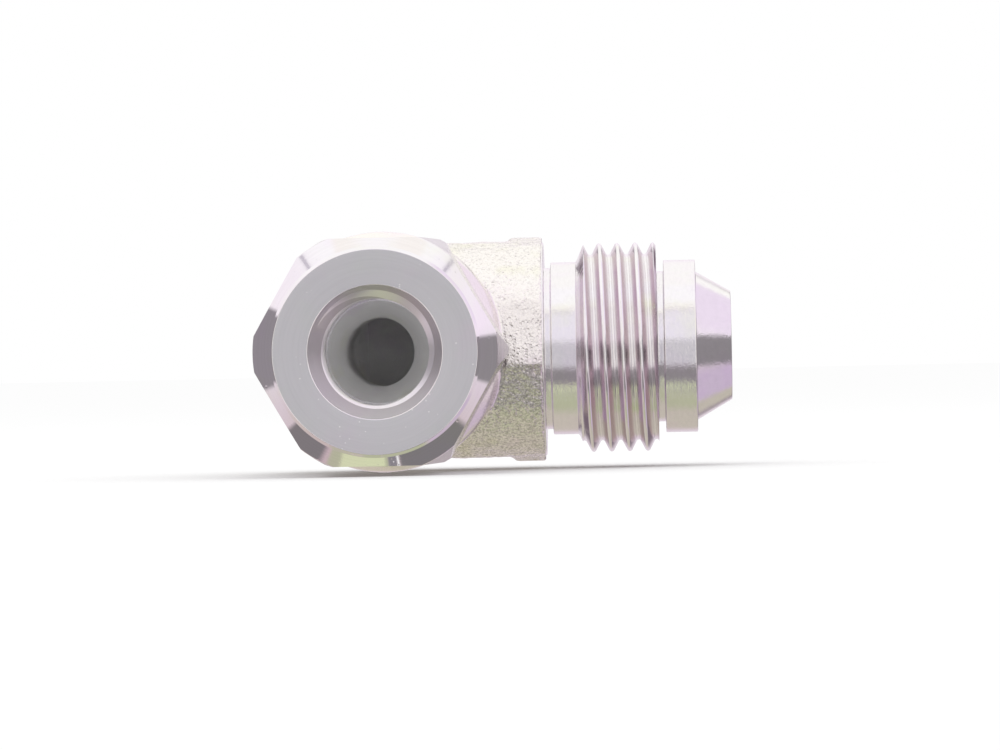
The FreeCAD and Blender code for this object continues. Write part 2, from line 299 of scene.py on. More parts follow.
@dataclass(frozen=True)
class ForgedSkin:
    """Plated skin of the forging: coarse blasted grain, a faint straw and blush, and painted shade below."""

    name: str
    light: Colour = (0.97, 0.945, 0.91)
    olive: Colour = (0.92, 0.91, 0.78)
    blush: Colour = (0.97, 0.90, 0.93)
    grain_height: float = 0.048
    lump_height: float = 0.075
    coarse_gain: float = 0.8
    coarse_span: tuple[float, float, float] = (-1.8, -0.6, 8.0)
    # fleck_depth sets how dark the specks painted below the parting line are: painted shade on the
    # underside.
    fleck_depth: float = 0.32
    boss_span: Pair = (22.2, 22.7)
    boss_edge: Pair = (11.9, 12.3)
    boss_grain: float = 0.12
    lump_scale: float = 900.0
    grain_scale: float = 3600.0
    grain_shade: float = 0.24
    patch_scale: float = 210.0
    pit_scale: float = 2600.0
    fleck_scale: float = 4300.0
    gloss: Pair = (0.30, 0.12)

    def material(self) -> Material:
        """Build the node material.

        Returns:
            The material.
        """
        nodes = new_tree(bpy.data.materials.new(self.name))
        place = nodes.add("ShaderNodeTexCoord").outputs["Object"]
        east, north, height = nodes.split(place)
        low, middle, high = (level * MM for level in self.coarse_span)
        above = nodes.span(height, low, middle, 0.0, 1.0)
        belt = nodes.math("MULTIPLY", above, nodes.span(height, middle, high, self.coarse_gain, 0.0))
        start, end = (station * MM for station in self.boss_span)
        inside, outside = (radius * MM for radius in self.boss_edge)
        rough = nodes.math("MAXIMUM", nodes.span(north, start, end, self.boss_grain, 1.0),
                           nodes.span(nodes.radius(east, height), inside, outside, 0.0, 1.0))
        coarse = nodes.math("MULTIPLY", rough, nodes.math("ADD", belt, 1.0))
        lumps = nodes.noise(place, self.lump_scale)
        grain = nodes.noise(place, self.grain_scale, 5.0, 0.7)
        patches = nodes.noise(place, self.patch_scale, 4.0)
        flecks = nodes.noise(place, self.fleck_scale, 2.0, 0.6)
        pit = nodes.span(nodes.pits(place, self.pit_scale), 0.1, 0.42, 0.0, 1.0)

        tint = nodes.ramp(patches, [(0.28, self.olive), (0.45, self.light),
                                    (0.6, self.light), (0.75, self.blush)])
        # Dark specks like the blasted skin's speckle, but painted only below the parting line: painted shade
        # on the underside.
        underside_specks_and_shade = nodes.math("MULTIPLY", nodes.span(flecks, 0.40, 0.56, self.fleck_depth, 0.0),
                          nodes.math("SUBTRACT", 1.0, above))
        specks_and_shade = nodes.math("ADD", nodes.span(grain, 0.3, 0.48, self.grain_shade, 0.0), underside_specks_and_shade)
        clear = nodes.math("SUBTRACT", 1.0, nodes.math("MULTIPLY", specks_and_shade, rough))
        tint = nodes.mix("MULTIPLY", 1.0, tint, clear)

        normal = nodes.bump(nodes.math("MULTIPLY", lumps, rough), self.lump_height * MM)
        normal = nodes.bump(nodes.math("MULTIPLY", grain, coarse), self.grain_height * MM, 1.0, normal)
        normal = nodes.bump(nodes.math("MULTIPLY", pit, coarse), self.grain_height * MM, 0.8, normal)
        return nodes.shade("ShaderNodeBsdfPrincipled", Base_Color=tint, Normal=normal, Metallic=1.0,
                           Roughness=nodes.span(grain, 0.3, 0.7, *self.gloss))


class Form:
    """Ways to form a solid, in millimetres, from bmesh operators."""

    WELD = 1e-4
    STEPS = 192
    ROUND_STEPS = 5
    LEAST_TURN_DEGREES = 12.0
    ROOM = 0.3
    GUARD = 1.4
    SHARP_DEGREES = 30.0

    @staticmethod
    def direction(axis: Axis) -> Vector:
        """Return the unit vector of an axis."""
        return Vector((1, 0, 0)) if axis is Axis.MALE else Vector((0, 1, 0))

    @staticmethod
    def centre(axis: Axis) -> Vector:
        """Return a point on an axis."""
        return Vector((0, MALE_AXIS_DEPTH, 0)) if axis is Axis.MALE else Vector((0, 0, 0))

    @staticmethod
    def lay(points: Profile, axis: Axis) -> list[Vector]:
        """Return where points lie that are given along and away from an axis."""
        centre, direction = Form.centre(axis), Form.direction(axis)
        return [centre + direction * along + Vector((0, 0, radius)) for along, radius in points]

    @staticmethod
    def spun(points: list[Vector], centre: Vector, axis: Vector, steps: int, lead: float = 0.0) -> Solid:
        """Spin a chain of edges once round an axis.

        Args:
            points: The chain's points.
            centre: A point on the axis.
            axis: The direction of the axis.
            steps: Facets round the axis.
            lead: How far the chain moves along the axis on its way.

        Returns:
            The spun surface.
        """
        mesh = bmesh.new()
        verts = [mesh.verts.new(point) for point in points]
        for first, second in zip(verts, verts[1:]):
            mesh.edges.new((first, second))
        bmesh.ops.spin(mesh, geom=mesh.verts[:] + mesh.edges[:], cent=centre, axis=axis,
                       dvec=axis * (lead / steps), angle=2 * math.pi, steps=steps,
                       use_merge=not lead, use_duplicate=False)
        return mesh

    @staticmethod
    def shares() -> list[float]:
        """Return the steps of a rounded edge as shares from 0 to 1."""
        return [step / Form.ROUND_STEPS for step in range(Form.ROUND_STEPS + 1)]

    @staticmethod
    def closed(mesh: Solid) -> Solid:
        """Weld a solid's seams and turn its faces outward.

        Args:
            mesh: The solid.

        Returns:
            The same solid.
        """
        bmesh.ops.remove_doubles(mesh, verts=mesh.verts[:], dist=Form.WELD)
        bmesh.ops.recalc_face_normals(mesh, faces=mesh.faces[:])
        return mesh

    @staticmethod
    def rounded(points: Profile, radius: float) -> Profile:
        """Round the corners of a profile, with a short guard length beside each.

        Args:
            points: The sharp profile.
            radius: Radius of the broken edges.

        Returns:
            The rounded profile.
        """
        path = [Vector(point) for point in points]
        result = [path[0]]
        for before, corner, after in zip(path, path[1:], path[2:]):
            back, ahead = before - corner, after - corner
            turn = math.pi - back.angle(ahead, math.pi)
            room = min(back.length, ahead.length) * Form.ROOM
            reach = min(radius * math.tan(turn / 2), room)
            if turn < math.radians(Form.LEAST_TURN_DEGREES) or corner.y < Form.WELD:
                result.append(corner)
                continue
            start, end = corner + back.normalized() * reach, corner + ahead.normalized() * reach
            result.append(corner + back.normalized() * reach * Form.GUARD)
            for share in Form.shares():
                result.append(start * (1 - share) ** 2 + corner * 2 * share * (1 - share) + end * share ** 2)
            result.append(corner + ahead.normalized() * reach * Form.GUARD)
        result.append(path[-1])
        return [(point.x, point.y) for point in result]

    @staticmethod
    def turned(points: Profile, axis: Axis, steps: int = STEPS) -> Solid:
        """Turn a profile that starts and ends on an axis into a closed solid."""
        centre, direction = Form.centre(axis), Form.direction(axis)
        return Form.closed(Form.spun(Form.lay(points, axis), centre, direction, steps))

    @staticmethod
    def threaded(tooth: Profile, pitch: float, start: float, end: float, phase: float,
                 axis: Axis, steps: int = STEPS) -> Solid:
        """Form a right-hand threaded rod between two stations of an axis.

        Args:
            tooth: One pitch of the thread, as shares of the pitch with radii.
            pitch: The thread's pitch.
            start: Where the rod begins along the axis.
            end: Where it ends.
            phase: Angle of the crest at the start, in turns.
            axis: The axis of the thread.
            steps: Facets in one turn.

        Returns:
            The closed rod.
        """
        turns = math.ceil((end - start) / pitch) + 3
        first = start - (2 + phase) * pitch
        points = [(first + (turn + share) * pitch, radius)
                  for turn in range(turns) for share, radius in tooth]
        centre, direction = Form.centre(axis), Form.direction(axis)
        mesh = Form.spun(Form.lay(points, axis), centre, direction, steps, pitch)
        bmesh.ops.remove_doubles(mesh, verts=mesh.verts[:], dist=Form.WELD * 10)
        for station, inner, outer in ((start, True, False), (end, False, True)):
            place = centre + direction * station
            bmesh.ops.bisect_plane(mesh, geom=mesh.verts[:] + mesh.edges[:] + mesh.faces[:],
                                   dist=Form.WELD, plane_co=place, plane_no=direction,
                                   clear_inner=inner, clear_outer=outer)
            rim = [edge for edge in mesh.edges if edge.is_boundary and all(
                abs((vert.co - place).dot(direction)) < Form.WELD * 10 for vert in edge.verts)]
            bmesh.ops.holes_fill(mesh, edges=rim, sides=0)
        bmesh.ops.recalc_face_normals(mesh, faces=mesh.faces[:])
        return mesh

    @staticmethod
    def keep(mesh: Solid, point: Vector, normal: Vector) -> None:
        """Cut a solid by a plane, keep what lies against the normal, and close it.

        Args:
            mesh: The solid.
            point: A point on the plane.
            normal: The plane's normal, towards what is cut away.
        """
        cut = bmesh.ops.bisect_plane(mesh, geom=mesh.verts[:] + mesh.edges[:] + mesh.faces[:],
                                     dist=Form.WELD, plane_co=point, plane_no=normal,
                                     clear_outer=True, clear_inner=False)
        rim = [item for item in cut["geom_cut"] if isinstance(item, bmesh.types.BMEdge)]
        bmesh.ops.holes_fill(mesh, edges=rim, sides=0)

    @staticmethod
    def to_object(mesh: Solid, name: str, skin: Skin) -> Thing:
        """Turn a bmesh into an object with one skin on all its faces.

        Args:
            mesh: The solid, which is used up.
            name: The object's name.
            skin: The skin of its faces.

        Returns:
            The new object, linked to the scene.
        """
        for face in mesh.faces:
            face.material_index = skin.value
            face.smooth = True
        data = bpy.data.meshes.new(name)
        mesh.to_mesh(data)
        mesh.free()
        for material in SKINS:
            data.materials.append(material)
        thing = bpy.data.objects.new(name, data)
        bpy.context.scene.collection.objects.link(thing)
        return thing

    @staticmethod
    def apply(thing: Thing) -> None:
        """Turn an object's modifiers into its own mesh.

        Args:
            thing: The object.
        """
        graph = bpy.context.evaluated_depsgraph_get()
        data = bpy.data.meshes.new_from_object(thing.evaluated_get(graph), depsgraph=graph)
        old = thing.data
        thing.modifiers.clear()
        thing.data = data
        bpy.data.meshes.remove(old)

    @staticmethod
    def combine(thing: Thing, tool: Thing, operation: str) -> None:
        """Join, cut or intersect an object with a tool, which is used up.

        Args:
            thing: The object that is changed.
            tool: The other solid.
            operation: UNION, DIFFERENCE or INTERSECT.
        """
        step = thing.modifiers.new("combine", "BOOLEAN")
        step.operation = operation
        step.solver = "EXACT"
        step.object = tool
        step.material_mode = "INDEX"
        Form.apply(thing)
        data = tool.data
        bpy.data.objects.remove(tool)
        bpy.data.meshes.remove(data)

    @staticmethod
    def finish(thing: Thing) -> None:
        """Scale a finished solid to metres, smooth it and keep its edges sharp.

        Args:
            thing: The finished object.
        """
        thing.data.transform(Matrix.Scale(MM, 4))
        mesh = bmesh.new()
        mesh.from_mesh(thing.data)
        for face in mesh.faces:
            face.smooth = True
        for edge in mesh.edges:
            skins = {face.material_index for face in edge.link_faces}
            angle = edge.calc_face_angle(0.0)
            edge.smooth = angle < math.radians(Form.SHARP_DEGREES) and not (
                Skin.FLAT.value in skins and len(skins) > 1)
        mesh.to_mesh(thing.data)
        mesh.free()
        thing.data.update()


@dataclass
class Drilling:
    """The passage: two crossing drillings with pointed floors and the cone seat."""

    head_depth: float = 10.5
    seat_mouth: float = 5.0
    stem_bore: float = 3.4
    male_bore: float = 4.0
    seat_half_angle: float = 30.0
    overrun: float = 2.0
    point_half_angle: float = 59.0
    male_tip: float = 34.6
    mouth_chamfer: float = 0.3
    clear: float = 1.0

    def stem_tool(self) -> Thing:
        """Form the tool that cuts the seat and the stem's drilling.

        Returns:
            The tool.
        """
        seat_depth = (self.seat_mouth - self.stem_bore) / math.tan(math.radians(self.seat_half_angle))
        seat_end = self.head_depth + seat_depth
        floor = MALE_AXIS_DEPTH + self.overrun
        point = floor + self.stem_bore / math.tan(math.radians(self.point_half_angle))
        profile = [(self.head_depth - self.clear, 0), (self.head_depth - self.clear, self.seat_mouth),
                   (self.head_depth, self.seat_mouth), (seat_end, self.stem_bore),
                   (floor, self.stem_bore), (point, 0)]
        return Form.to_object(Form.turned(profile, Axis.NUT), "stem_drill", Skin.BORE)

    def male_tool(self) -> Thing:
        """Form the tool that cuts the male end's drilling.

        Returns:
            The tool.
        """
        point = -self.overrun - self.male_bore / math.tan(math.radians(self.point_half_angle))
        mouth = self.male_bore + self.mouth_chamfer
        profile = [(point, 0), (-self.overrun, self.male_bore),
                   (self.male_tip - self.mouth_chamfer, self.male_bore),
                   (self.male_tip + self.clear, mouth + self.clear), (self.male_tip + self.clear, 0)]
        return Form.to_object(Form.turned(profile, Axis.MALE), "male_drill", Skin.BORE)


@dataclass
class Forging:
    """The rough forged block: two arms of ridged section and a rounded heel."""

    half_height: float = 11.3
    draft_offset: float = 1.2
    parting_height: float = -1.5
    upper_draft: float = 11.0
    lower_draft: float = 24.0
    flank_steps: int = 14
    heel_steps: int = 160
    rim_steps: int = 6
    flats_half: float = 10.8
    reach: float = 15.9
    collar: float = 2.9
    boss_face: float = 20.0
    boss_radius: float = 12.0
    boss_round: float = 2.2
    boss_back: float = 22.5
    grain: float = 0.222
    wobble: float = 0.10
    wobble_scale: float = 0.33
    wobble_octaves: tuple[float, float, int] = (0.8, 2.0, 3)
    grit: float = 0.045
    grit_scale: float = 1.9
    grit_octaves: tuple[float, float, int] = (0.7, 2.0, 2)
    boss_overlap: float = 0.5
    collar_overlap: float = 0.4
    collar_gap: float = 0.02
    smoothing: float = 0.5
    smoothing_passes: int = 3
    end_trim: float = 0.15
    calm_start: float = 22.3
    calm_length: float = 0.6
    calm_share: float = 0.1

    @property
    def arc_radius(self) -> float:
        """Return the radius of the two arcs of the section."""
        return self.half_height + self.draft_offset

    def lens(self, level: float) -> float:
        """Return the arcs' half width at a height above the middle of the arm."""
        return math.sqrt(max(self.arc_radius ** 2 - (abs(level) + self.draft_offset) ** 2, 0.0))

    def half_width(self, height: float) -> float:
        """Return the section's half width at a height, with the drafted flanks at the parting line.

        Args:
            height: The height above the middle of the arm.

        Returns:
            The distance from the middle to the skin.
        """
        rise = height - self.parting_height
        draft = self.upper_draft if rise > 0 else self.lower_draft
        drafted = self.lens(self.parting_height) - abs(rise) * math.tan(math.radians(draft))
        return min(self.lens(height), drafted)

    def flank(self, top: float) -> Profile:
        """Return half of the section as pairs of a width and a height, from below to above.

        Args:
            top: Height at which the section ends, above and below.

        Returns:
            The points of one flank, with the parting line among them.
        """
        below = [self.parting_height - (top + self.parting_height) * (1 - step / self.flank_steps)
                 for step in range(self.flank_steps)]
        above = [self.parting_height + (top - self.parting_height) * step / self.flank_steps
                 for step in range(self.flank_steps + 1)]
        return [(self.half_width(height), height) for height in below + above]

    def arm(self, start: float, end: float, axis: Axis, top: float) -> Solid:
        """Form one stretch of an arm.

        Args:
            start: Where it begins along the axis.
            end: Where it ends.
            axis: The axis it lies along.
            top: Height of its flats or of its rounded top.

        Returns:
            The closed solid.
        """
        mesh = bmesh.new()
        direction, centre = Form.direction(axis), Form.centre(axis)
        side = Vector((direction.y, direction.x, 0))
        flank = self.flank(top)
        outline = flank + [(-width, height) for width, height in reversed(flank)]
        verts = [mesh.verts.new(centre + direction * start + side * width + Vector((0, 0, height)))
                 for width, height in outline]
        face = mesh.faces.new(verts)
        grown = bmesh.ops.extrude_face_region(mesh, geom=[face])["geom"]
        moved = [item for item in grown if isinstance(item, bmesh.types.BMVert)]
        bmesh.ops.translate(mesh, verts=moved, vec=direction * (end - start))
        return Form.closed(mesh)

    def heel(self) -> Solid:
        """Form the rounded heel where the two arms meet.

        Returns:
            The closed solid.
        """
        centre, flank = Form.centre(Axis.MALE), self.flank(self.flats_half)
        outline = [(0.0, -self.flats_half)] + flank + [(0.0, self.flats_half)]
        points = [centre + Vector((width, 0, height)) for width, height in outline]
        return Form.closed(Form.spun(points, centre, Vector((0, 0, 1)), self.heel_steps))

    def boss(self) -> Solid:
        """Form the round boss that ends the swivel arm behind the nut.

        Returns:
            The closed solid.
        """
        turns = [math.radians(90 * step / self.rim_steps) for step in range(self.rim_steps + 1)]
        rim = [(self.boss_face + self.boss_round * (1 - math.cos(turn)),
                self.boss_radius - self.boss_round * (1 - math.sin(turn))) for turn in turns]
        return Form.turned([(self.boss_face, 0.0)] + rim
                              + [(self.boss_back, self.boss_radius), (self.boss_back, 0.0)], Axis.NUT)

    def roughen(self, point: Vector, normal: Vector) -> Vector:
        """Return where a point of the skin lies after forging and blasting.

        Args:
            point: The point on the smooth form.
            normal: The form's normal there.

        Returns:
            The moved point.
        """
        basis = {"noise_basis": "PERLIN_ORIGINAL"}
        lump = noise.fractal(point * self.wobble_scale, *self.wobble_octaves, **basis)
        pit = noise.fractal(point * self.grit_scale, *self.grit_octaves, **basis)
        behind = (point.y - self.calm_start) / self.calm_length
        beside = math.hypot(point.x, point.z) - self.boss_radius
        calm = min(max(behind, beside, self.calm_share), 1.0)
        return point + normal * (lump * self.wobble + pit * self.grit) * calm - normal * self.grit

    def build(self) -> Thing:
        """Form the whole block and roughen its skin.

        Returns:
            The forging.
        """
        block = bmesh.new()
        shoulder = self.reach - self.collar
        parts = [self.heel(), self.boss(),
                 self.arm(self.boss_back - self.boss_overlap, MALE_AXIS_DEPTH, Axis.NUT, self.flats_half),
                 self.arm(0.0, shoulder, Axis.MALE, self.flats_half),
                 self.arm(shoulder - self.collar_overlap, self.reach, Axis.MALE,
                          self.half_height - self.collar_gap)]
        for part in parts:
            scratch = bpy.data.meshes.new("part")
            part.to_mesh(scratch)
            part.free()
            block.from_mesh(scratch)
            bpy.data.meshes.remove(scratch)
        thing = Form.to_object(block, "forging", Skin.FORGED)
        remesh = thing.modifiers.new("skin", "REMESH")
        remesh.mode = "VOXEL"
        remesh.voxel_size = self.grain
        Form.apply(thing)
        mesh = bmesh.new()
        mesh.from_mesh(thing.data)
        for _ in range(self.smoothing_passes):
            bmesh.ops.smooth_vert(mesh, verts=mesh.verts[:], factor=self.smoothing,
                                  use_axis_x=True, use_axis_y=True, use_axis_z=True)
        mesh.normal_update()
        for vert in mesh.verts:
            vert.co = self.roughen(vert.co, vert.normal)
        Form.keep(mesh, Vector((self.reach - self.end_trim, 0, 0)), Vector((1, 0, 0)))
        bmesh.ops.recalc_face_normals(mesh, faces=mesh.faces[:])
        old = thing.data
        bpy.data.objects.remove(thing)
        bpy.data.meshes.remove(old)
        return Form.to_object(mesh, "forging", Skin.FORGED)


@dataclass
class MaleEnd:
    """The turned male end: neck, shank, parallel pipe thread, undercut, nose and cone."""

    face: float = 15.9
    face_radius: float = 10.7
    neck: Pair = (16.6, 8.1)
    shank_end: float = 19.1
    shank: float = 8.65
    lead_end: float = 20.0
    crest: float = 10.4775
    root: float = 9.316
    pitch: float = 1.814
    thread_end: float = 27.2
    undercut: Pair = (27.9, 7.55)
    nose_end: float = 31.1
    cone_base: float = 7.45
    tip: float = 34.6
    cone_half_angle: float = 30.0
    edge: float = 0.12
    thread_phase: float = 0.24
    flank_angle: float = 27.5
    crest_round: float = 0.249
    foot: Pair = (4.0, 6.2)
    collar_foot: float = 14.6
    core_lead: float = 0.45
    core_sink: float = 0.1
    core_end: Pair = (0.2, 0.3)
    run_out: Pair = (0.8, 0.5)
    stock_foot: Pair = (0.6, 0.5)
    stock_sink: float = 0.15
    stock_spare: float = 0.1
    stock_gap: float = 0.01
    end_lead: Pair = (0.35, 0.35)
    bend_steps: int = 3

    def core(self) -> Thing:
        """Form the turned stock without its thread.

        Returns:
            The stock.
        """
        cone_tip = self.cone_base - (self.tip - self.nose_end) * math.tan(math.radians(self.cone_half_angle))
        neck_end, neck = self.neck
        undercut_end, undercut = self.undercut
        foot_end, foot = self.foot
        end, drop = self.core_end
        profile = [(foot_end, 0), (foot_end, foot), (self.collar_foot, foot),
                   (self.collar_foot, self.face_radius),
                   (self.face, self.face_radius), (self.face, neck), (neck_end, neck),
                   (neck_end, self.shank), (self.shank_end, self.shank),
                   (self.lead_end - self.core_lead, self.root - self.core_sink),
                   (self.thread_end - end, self.root - self.core_sink),
                   (self.thread_end, self.root - drop), (self.thread_end, undercut),
                   (undercut_end, undercut), (undercut_end, self.shank), (self.nose_end, self.shank),
                   (self.nose_end, self.cone_base), (self.tip, cone_tip), (self.tip, 0)]
        profile = Form.rounded(profile, self.edge)
        return Form.to_object(Form.turned(profile, Axis.MALE), "male_core", Skin.TURNED)

    def tooth(self) -> Profile:
        """Return one pitch of the rounded 55 degree thread, from crest to crest.

        Returns:
            The tooth's points, as shares of the pitch with radii.
        """
        bend = 90.0 - self.flank_angle
        turns = [math.radians(bend * step / self.bend_steps)
                 for step in range(-self.bend_steps, self.bend_steps + 1)]
        crest = [(self.crest_round * math.sin(turn) / self.pitch,
                  self.crest - self.crest_round * (1 - math.cos(turn))) for turn in turns]
        root = [(0.5 + self.crest_round * math.sin(turn) / self.pitch,
                 self.root + self.crest_round * (1 - math.cos(turn))) for turn in turns]
        return crest + root

    def thread(self) -> Thing:
        """Form the threaded stretch with its chamfered ends.

        Returns:
            The threaded stretch.
        """
        before, after = self.run_out
        rod = Form.threaded(self.tooth(), self.pitch, self.shank_end - before, self.thread_end + after,
                               self.thread_phase, Axis.MALE)
        thread = Form.to_object(rod, "male_thread", Skin.THREAD)
        foot, sink = self.stock_foot
        share, drop = self.end_lead
        top, end = self.crest + self.stock_spare, self.thread_end - self.stock_gap
        lead = self.lead_end - self.shank_end
        stock = [(self.shank_end - foot, 0), (self.shank_end - foot, self.shank - sink),
                 (self.shank_end, self.shank - self.stock_sink), (self.lead_end, top),
                 (self.thread_end - lead * share, top), (end, self.crest - drop), (end, 0)]
        envelope = Form.to_object(Form.turned(stock, Axis.MALE), "thread_stock", Skin.THREAD)
        Form.combine(thread, envelope, "INTERSECT")
        return thread


@dataclass
class Stem:
    """The turned stem inside the nut."""

    head_depth: float = 10.5
    radius: float = 7.0
    head_chamfer: float = 0.3
    groove: Pair = (14.51, 15.89)
    groove_radius: float = 6.335
    root: float = 26.0

    def build(self) -> Thing:
        """Form the stem, with its foot inside the forging.

        Returns:
            The stem.
        """
        near, far = self.groove
        profile = [(self.head_depth, 0), (self.head_depth, self.radius - self.head_chamfer),
                   (self.head_depth + self.head_chamfer, self.radius), (near, self.radius),
                   (near, self.groove_radius), (far, self.groove_radius), (far, self.radius),
                   (self.root, self.radius), (self.root, 0)]
        return Form.to_object(Form.turned(profile, Axis.NUT), "stem", Skin.TURNED)


@dataclass
class ElbowBody:
    """The body in one piece, with its passages drilled."""

    forging: Forging = field(default_factory=Forging)
    male: MaleEnd = field(default_factory=MaleEnd)
    stem: Stem = field(default_factory=Stem)
    drilling: Drilling = field(default_factory=Drilling)

    def build(self) -> Thing:
        """Form, join and drill the body, and hang it on the elbow's frame.

        Returns:
            The finished body.
        """
        body = self.forging.build()
        Form.combine(body, self.male.core(), "UNION")
        Form.combine(body, self.male.thread(), "UNION")
        Form.combine(body, self.stem.build(), "UNION")
        Form.combine(body, self.drilling.stem_tool(), "DIFFERENCE")
        Form.combine(body, self.drilling.male_tool(), "DIFFERENCE")
        body.name = "plated_elbow_body"
        Form.finish(body)
        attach(body, "elbow")
        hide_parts("elbow_body")
        return body


@dataclass
class SwivelNut:
    """The hexagonal nut: turned face, chamfered corners and an internal thread."""

    flat: float = 11.0
    length: float = 19.4
    face_radius: float = 9.9
    bevel: float = 0.28
    chamfer_angle: float = 30.0
    corner_cut_front: float = 0.88
    corner_cut_rear: float = 0.2
    rear_chamfer: float = 0.5
    minor: float = 5.19
    major: float = 6.05
    pitch: float = 1.5
    mouth_chamfer: float = 1.25
    shoulder: float = 10.0
    skirt: float = 7.05
    skirt_chamfer: float = 0.5
    groove: Pair = (14.55, 15.85)
    groove_radius: float = 7.675
    feed_radius: float = 0.75
    edge_break: float = 0.11
    thread_phase: float = 0.3
    thread_crest: float = 0.125
    thread_root: float = 0.25
    tap_gap: float = 0.02
    tap_stop: float = 0.4
    bar_spare: float = 4.0
    feed_middle: float = 10.3
    feed_depth: float = 6.0
    feed_facets: int = 48
    overrun: float = 0.5
    facets: int = 288

    @property
    def corner(self) -> float:
        """Return the radius over the hexagon's sharp corners."""
        return self.flat / math.cos(math.pi / 6)

    def bar(self) -> Thing:
        """Form the plain hexagonal bar.

        Returns:
            The bar.
        """
        mesh = bmesh.new()
        bmesh.ops.create_cone(mesh, cap_ends=True, segments=6, radius1=self.corner,
                              radius2=self.corner, depth=self.length + self.bar_spare)
        bmesh.ops.rotate(mesh, verts=mesh.verts[:], matrix=Matrix.Rotation(math.pi / 2, 3, "Z"))
        bmesh.ops.rotate(mesh, verts=mesh.verts[:], matrix=Matrix.Rotation(math.pi / 2, 3, "X"))
        bmesh.ops.translate(mesh, verts=mesh.verts[:], vec=(0, self.length / 2, 0))
        return Form.to_object(mesh, "nut_bar", Skin.FLAT)

    def outside(self) -> Thing:
        """Form the turned outline that the bar is cut to.

        Returns:
            The outline.
        """
        rim = self.face_radius + self.bevel
        front = self.corner - self.corner_cut_front
        rear = self.corner - self.corner_cut_rear
        slope = math.tan(math.radians(self.chamfer_angle))
        shoulder = self.bevel + (front - rim) * slope
        profile = [(0, 0), (0, self.face_radius), (self.bevel, rim), (shoulder, front),
                   (self.length - self.rear_chamfer * slope, rear), (self.length, rear - self.rear_chamfer),
                   (self.length, 0)]
        mesh = Form.turned(Form.rounded(profile, self.edge_break), Axis.NUT, self.facets)
        outline = Form.to_object(mesh, "nut_outline", Skin.CHAMFER)
        for polygon in outline.data.polygons:
            middle = polygon.center
            if middle.y < Form.WELD:
                polygon.material_index = Skin.FACE.value
            elif middle.y > shoulder + self.edge_break:
                polygon.material_index = Skin.CORNER.value
        return outline

    def bores(self) -> Thing:
        """Form the tool that cuts the mouth, the skirt bore and the wire groove.

        Returns:
            The tool.
        """
        near, far = self.groove
        mouth = self.minor + self.mouth_chamfer
        lip = [(self.edge_break * share ** 2, mouth + self.edge_break * (1 - share) ** 2)
               for share in Form.shares()]
        front, back = -2 * self.overrun, self.length + self.overrun
        profile = [(front, 0), (front, mouth + self.edge_break)] + lip + [
                   (self.mouth_chamfer, self.minor), (self.shoulder, self.minor),
                   (self.shoulder, self.skirt), (near, self.skirt), (near, self.groove_radius),
                   (far, self.groove_radius), (far, self.skirt),
                   (self.length - self.skirt_chamfer, self.skirt),
                   (back, self.skirt + self.skirt_chamfer + self.overrun), (back, 0)]
        tool = Form.to_object(Form.turned(profile, Axis.NUT, self.facets), "nut_bores", Skin.BORE)
        for polygon in tool.data.polygons:
            if polygon.center.y < self.edge_break:
                polygon.material_index = Skin.CHAMFER.value
            elif polygon.center.y < self.mouth_chamfer:
                polygon.material_index = Skin.MOUTH.value
        return tool

    def thread(self) -> Thing:
        """Form the rod that cuts the internal thread.

        Returns:
            The rod.
        """
        flank_end = (1 + self.thread_crest - self.thread_root) / 2
        low = self.minor - self.tap_gap
        tooth = [(0.0, self.major), (self.thread_crest, self.major), (flank_end, low),
                 (flank_end + self.thread_root, low)]
        rod = Form.threaded(tooth, self.pitch, -self.overrun, self.shoulder - self.tap_stop,
                               self.thread_phase, Axis.NUT, self.facets)
        return Form.to_object(rod, "nut_tap", Skin.TAPPED)

    def feed_hole(self) -> Thing:
        """Form the drill for the hole that the retaining wire is fed through.

        Returns:
            The drill.
        """
        mesh = bmesh.new()
        bmesh.ops.create_cone(mesh, cap_ends=True, segments=self.feed_facets,
                              radius1=self.feed_radius, radius2=self.feed_radius, depth=self.feed_depth)
        middle = (self.groove[0] + self.groove[1]) / 2
        bmesh.ops.translate(mesh, verts=mesh.verts[:], vec=(0, middle, self.feed_middle))
        return Form.to_object(mesh, "feed_drill", Skin.BORE)

    def build(self) -> Thing:
        """Form, thread and drill the nut, and hang it on its own frame.

        Returns:
            The finished nut.
        """
        nut = self.bar()
        Form.combine(nut, self.outside(), "INTERSECT")
        Form.combine(nut, self.bores(), "DIFFERENCE")
        Form.combine(nut, self.thread(), "DIFFERENCE")
        Form.combine(nut, self.feed_hole(), "DIFFERENCE")
        nut.name = "plated_swivel_nut"
        Form.finish(nut)
        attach(nut, "nut")
        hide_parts("swivel_nut")
        return nut


